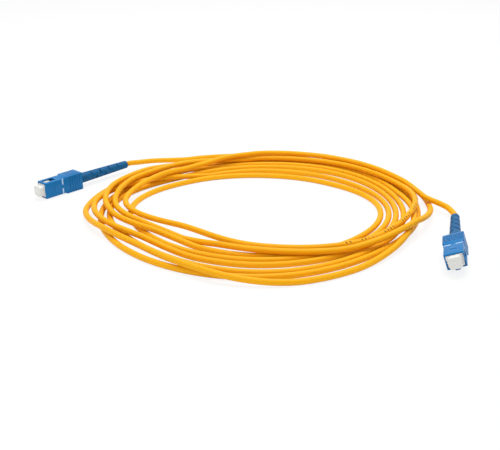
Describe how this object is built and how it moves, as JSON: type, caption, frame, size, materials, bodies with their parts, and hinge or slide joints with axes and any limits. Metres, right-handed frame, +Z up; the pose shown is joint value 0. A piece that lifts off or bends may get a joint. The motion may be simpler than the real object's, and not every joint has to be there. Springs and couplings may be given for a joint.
{
  "type": "fiber optic patch cord",
  "caption": "Round yellow fiber optic cable wound in loose overlapping loops, with a blue rectangular push-pull plug, flexible boot and pale dust cap at each end.",
  "frame": {"origin": "centre of the two plugs' common box, on the surface that the cord lies on", "axes": "+Z up; X across the wide coil, from plug A on the left to plug B on the right; +Y towards the back of the coil, where both leads join it"},
  "size_m": [0.2247, 0.1786, 0.0119],
  "materials": {
    "jacket": "satin extruded jacket, amber yellow",
    "sleeve_blue": "moulded, satin",
    "frame_blue": "moulded, fine matt",
    "boot_blue": "soft moulded, matt",
    "cap_grey": "soft moulded, slightly translucent white grey",
    "mark_pale": "printed bar",
    "ceramic": "polished zirconia",
    "bare_fibre": "polished fibre end",
    "nickel": "nickel plated, turned",
    "spring_steel": "drawn wire",
    "crimp_metal": "crimped sleeve",
    "yarn": "yellow aramid yarn",
    "buffer": "smooth buffer"
  },
  "bodies": {
    "cord": {"plug_frame_a": "frame_blue", "ferrule_spring_a": "spring_steel", "stop_body_a": "nickel", "crimp_ring_a": "crimp_metal", "aramid_yarn_a": "yarn", "buffered_fibre_a": "buffer", "jacket_tail_a": "jacket", "boot_a": "boot_blue", "plug_frame_b": "frame_blue", "ferrule_spring_b": "spring_steel", "stop_body_b": "nickel", "crimp_ring_b": "crimp_metal", "aramid_yarn_b": "yarn", "buffered_fibre_b": "buffer", "jacket_tail_b": "jacket", "boot_b": "boot_blue", "cable_coil": "jacket", "lead_a": "jacket", "lead_b": "jacket"},
    "grip_a": {"sleeve_a": "sleeve_blue", "witness_marks_a": "mark_pale"},
    "tip_a": {"ferrule_a": "ceramic", "fibre_core_a": "bare_fibre", "ferrule_flange_a": "nickel"},
    "cap_a": {"dust_cap_a": "cap_grey"},
    "grip_b": {"sleeve_b": "sleeve_blue", "witness_marks_b": "mark_pale"},
    "tip_b": {"ferrule_b": "ceramic", "fibre_core_b": "bare_fibre", "ferrule_flange_b": "nickel"},
    "cap_b": {"dust_cap_b": "cap_grey"}
  },
  "joints": [
    {"name": "sleeve_slide_a", "type": "slide", "parent": "cord", "child": "grip_a", "axis": [0.6665, 0.7455, 0], "range_m": [0, 0.0012]},
    {"name": "tip_retract_a", "type": "slide", "parent": "cord", "child": "tip_a", "axis": [0.6665, 0.7455, 0], "range_m": [0, 0.0012], "stiffness_N_per_m": 2000, "deforming": ["ferrule_spring_a"]},
    {"name": "cap_pull_a", "type": "slide", "parent": "tip_a", "child": "cap_a", "axis": [-0.6665, -0.7455, 0], "range_m": [0, 0.012]},
    {"name": "sleeve_slide_b", "type": "slide", "parent": "cord", "child": "grip_b", "axis": [0.2348, 0.9706, -0.0523], "range_m": [0, 0.0012]},
    {"name": "tip_retract_b", "type": "slide", "parent": "cord", "child": "tip_b", "axis": [0.2348, 0.9706, -0.0523], "range_m": [0, 0.0012], "stiffness_N_per_m": 2000, "deforming": ["ferrule_spring_b"]},
    {"name": "cap_pull_b", "type": "slide", "parent": "tip_b", "child": "cap_b", "axis": [-0.2348, -0.9706, 0.0523], "range_m": [0, 0.012]}
  ]
}
